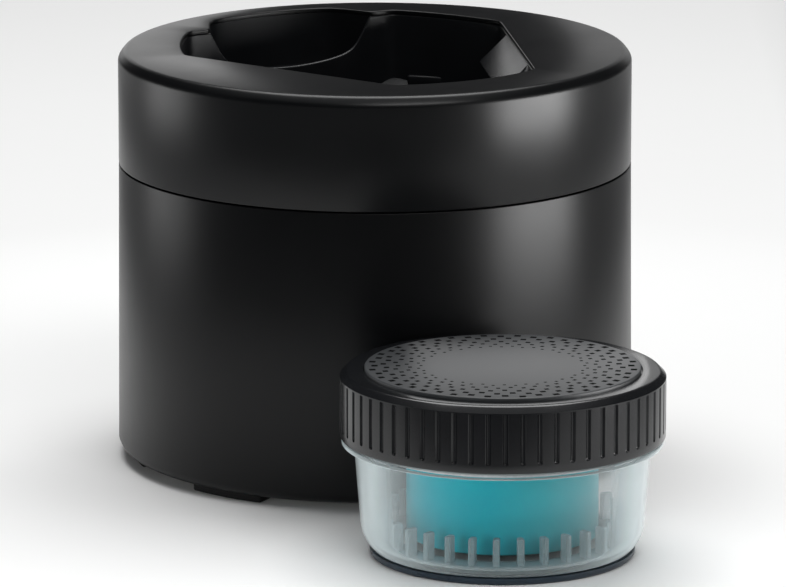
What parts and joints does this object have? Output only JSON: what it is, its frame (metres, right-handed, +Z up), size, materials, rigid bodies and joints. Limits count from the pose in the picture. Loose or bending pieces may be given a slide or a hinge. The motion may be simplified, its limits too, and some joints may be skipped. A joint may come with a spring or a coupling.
{
  "type": "shaver cleaning station",
  "caption": "Round cleaning pod for an electric shaver, with a lift-off top, a sprung release button at the back and a screw-capped cartridge of cleaning fluid standing beside it.",
  "frame": {"origin": "on the pod's axis, at the surface that the feet stand on", "axes": "+Z up, the pod's front and the cartridge towards -Y, the release button towards +Y, +X to the right seen from the front"},
  "size_m": [0.125, 0.1986, 0.1],
  "materials": {
    "shell_black": "satin black moulded plastic",
    "inner_black": "fine matt black moulded plastic",
    "steel": "bright zinc-plated steel",
    "rubber": "matt black rubber",
    "cell_wrap": "grey shrink sleeve",
    "contact_metal": "plated spring brass",
    "board_green": "green solder resist",
    "board_parts": "black moulded components",
    "magnet": "nickel-plated magnet",
    "drive_plastic": "dark grey plastic",
    "frosted": "clear plastic with a fine frosted skin",
    "ring_navy": "dark navy plastic",
    "fluid": "teal cleaning fluid",
    "pale_plastic": "pale grey moulded plastic",
    "cap_black": "charcoal moulded plastic"
  },
  "bodies": {
    "base": {"base_shell": "shell_black", "well_liner": "inner_black", "liner_screws": "steel", "bottom_plate": "inner_black", "bottom_screws": "steel", "rubber_feet": "rubber", "battery_door": "inner_black", "door_screw": "steel", "battery_tray": "inner_black", "battery_cells": "cell_wrap", "battery_contacts": "contact_metal", "motor": "steel", "motor_bracket": "inner_black", "motor_screws": "steel", "bracket_screws": "steel", "circuit_board": "board_green", "board_parts": "board_parts", "micro_switch": "inner_black", "latch_guide": "inner_black", "latch_spring": "steel"},
    "drive": {"motor_shaft": "steel", "drive_disc": "drive_plastic", "drive_magnets": "magnet"},
    "top": {"top_cover": "shell_black", "shaver_holder": "inner_black", "side_guides": "inner_black", "inner_frame": "inner_black", "holder_screws": "steel", "catch_plate": "steel", "holder_seal": "rubber", "pin_spring": "steel"},
    "release": {"release_button": "inner_black"},
    "start": {"start_pin": "drive_plastic", "pin_clip": "steel"},
    "cartridge": {"cartridge_bowl": "frosted", "base_ring": "ring_navy", "flow_ring": "frosted", "inner_cup": "frosted", "cleaning_fluid": "fluid", "pump_housing": "pale_plastic", "filter_disc": "pale_plastic", "head_tray": "pale_plastic"},
    "impeller": {"pump_impeller": "pale_plastic", "impeller_magnet": "magnet"},
    "cap_seal": {"cap_seal": "rubber"},
    "cap": {"cap_shell": "cap_black", "cap_disc": "cap_black"}
  },
  "joints": [
    {"name": "top_lift", "type": "slide", "parent": "base", "child": "top", "axis": [0, 0, 1], "range_m": [0, 0.06]},
    {"name": "release_press", "type": "slide", "parent": "base", "child": "release", "axis": [0, -1, 0], "range_m": [0, 0.0025], "stiffness_N_per_m": 500, "springref_m": -0.002, "deforming": ["latch_spring"]},
    {"name": "start_press", "type": "slide", "parent": "top", "child": "start", "axis": [0, 0, -1], "range_m": [0, 0.002], "stiffness_N_per_m": 250, "springref_m": -0.002, "deforming": ["pin_spring"]},
    {"name": "motor_spin", "type": "hinge", "parent": "base", "child": "drive", "pos_m": [0, 0, 0.024], "axis": [0, 0, 1], "continuous": true},
    {"name": "cartridge_lift", "type": "slide", "parent": "base", "child": "cartridge", "axis": [0, 0, 1], "range_m": [0, 0.1]},
    {"name": "impeller_spin", "type": "hinge", "parent": "cartridge", "child": "impeller", "pos_m": [-0.02291, -0.09847, 0.01], "axis": [0, 0, 1], "continuous": true},
    {"name": "cap_rise", "type": "slide", "parent": "cartridge", "child": "cap_seal", "axis": [0, 0, 1], "range_m": [0, 0.0041]},
    {"name": "cap_turn", "type": "hinge", "parent": "cap_seal", "child": "cap", "pos_m": [-0.02291, -0.09847, 0.04], "axis": [0, 0, 1], "range_deg": [0, 100]}
  ],
  "couplings": [
    {"joint": "cap_rise", "follows": "cap_turn", "m_per_rad": 0.0022918}
  ]
}
